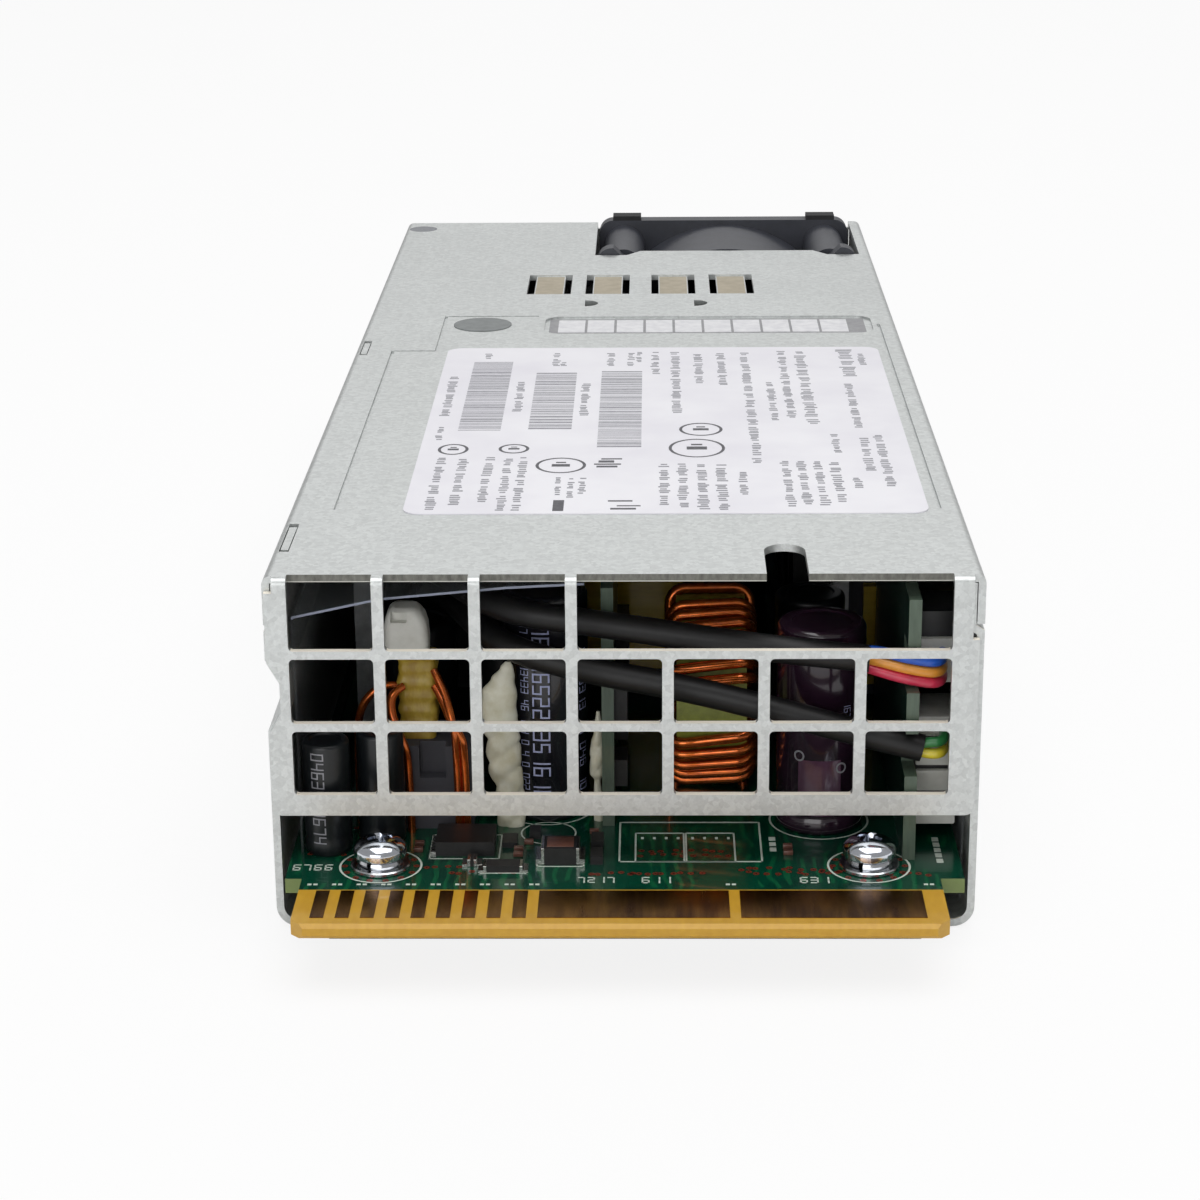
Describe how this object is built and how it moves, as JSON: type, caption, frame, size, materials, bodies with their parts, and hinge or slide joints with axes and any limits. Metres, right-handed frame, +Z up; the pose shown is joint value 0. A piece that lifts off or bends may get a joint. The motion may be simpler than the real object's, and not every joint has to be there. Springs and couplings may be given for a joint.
{
  "type": "hot swap server power supply",
  "caption": "Hot swap server power supply with a card edge, wire grille front, sheet steel case, rear fan, inlet, latch and pull handle.",
  "frame": {"origin": "centre of the case's underside", "axes": "+Z up, +Y from the card edge to the fan and inlet, +X to the right seen from the card edge"},
  "size_m": [0.0755, 0.2238, 0.0407],
  "materials": {
    "adhesive_white": "cured silicone",
    "plated_screw": "bright nickel plate",
    "brass_post": "turned",
    "core_green": "powder coated ring core",
    "copper": "enamelled copper",
    "box_grey": "moulded case",
    "chip_black": "moulded epoxy",
    "can_black": "shrink sleeve",
    "galvanised": "galvanised sheet, fine spangle",
    "disc_blue": "dipped epoxy",
    "contact_gold": "gold flash",
    "can_green": "shrink sleeve",
    "steel_spring": "spring steel",
    "fan_black": "glass filled plastic",
    "cable_black": "PVC sleeve",
    "rubber_black": "soft rubber",
    "steel_zinc": "zinc plate",
    "tape_yellow": "polyester tape",
    "ferrite": "sintered ferrite",
    "glass_tube": "ceramic fuse body",
    "heatsink": "rolled aluminium",
    "inlet_black": "glass filled nylon",
    "pin_brass": "nickel plated brass",
    "film_clear": "thin polyester film",
    "grip_green": "moulded plastic",
    "handle_black": "moulded nylon",
    "board_green": "dark green solder resist",
    "can_purple": "shrink sleeve",
    "label_stock": "satin printed film, blank",
    "strip_stock": "matt paper squares",
    "washer_steel": "zinc plate",
    "dot_stock": "matt grey sticker",
    "lead_mixed": "PVC insulation, five colours",
    "plug_white": "nylon",
    "lens": "diffuse lens",
    "coil_yellow": "taped winding"
  },
  "bodies": {
    "case": {"adhesive_beads": "adhesive_white", "board_screws": "plated_screw", "board_standoffs": "brass_post", "boost_choke_core": "core_green", "boost_choke_winding": "copper", "boxed_line_parts": "box_grey", "bridge_rectifier": "chip_black", "bulk_capacitors": "can_black", "case_screws": "plated_screw", "chassis_tray": "galvanised", "disc_parts": "disc_blue", "edge_contacts": "contact_gold", "electrolytic_capacitors": "can_green", "fan_bearings": "steel_spring", "fan_frame": "fan_black", "fan_lead": "cable_black", "fan_pads": "rubber_black", "fan_spider": "fan_black", "fan_stator": "steel_zinc", "filter_choke_coil": "tape_yellow", "filter_choke_core": "ferrite", "filter_choke_leads": "copper", "fuse": "glass_tube", "heatsinks": "heatsink", "inlet_body": "inlet_black", "inlet_leads": "cable_black", "inlet_pins": "pin_brass", "insulating_film": "film_clear", "latch_bracket": "steel_zinc", "latch_pin": "plated_screw", "latch_spring": "steel_spring", "light_bezel": "handle_black", "line_choke_coils": "copper", "line_choke_core": "ferrite", "main_board": "board_green", "output_choke_core": "core_green", "output_choke_winding": "copper", "panel_screws": "plated_screw", "power_cables": "cable_black", "power_devices": "chip_black", "pull_handle": "handle_black", "purple_capacitor": "can_purple", "rating_label": "label_stock", "rear_panel": "galvanised", "revision_strip": "strip_stock", "screw_washers": "washer_steel", "seal_dot": "dot_stock", "signal_leads": "lead_mixed", "signal_plugs": "plug_white", "small_board_parts": "chip_black", "status_light": "lens", "tall_capacitor": "can_black", "top_cover": "galvanised", "transformer_coils": "coil_yellow", "transformer_cores": "ferrite", "upright_cards": "board_green", "white_plug": "plug_white"},
    "rotor": {"fan_rotor": "fan_black"},
    "latch": {"latch_lever": "steel_zinc", "latch_grip": "grip_green"}
  },
  "joints": [
    {"name": "fan_spin", "type": "hinge", "parent": "case", "child": "rotor", "pos_m": [0.01455, 0.0792, 0.02], "axis": [0, 1, 0], "continuous": true},
    {"name": "latch_press", "type": "hinge", "parent": "case", "child": "latch", "pos_m": [-0.03265, 0.0535, 0.03295], "axis": [0, 0, -1], "range_deg": [0, 5], "stiffness_Nm_per_rad": 0.08, "springref_deg": -11.46}
  ]
}
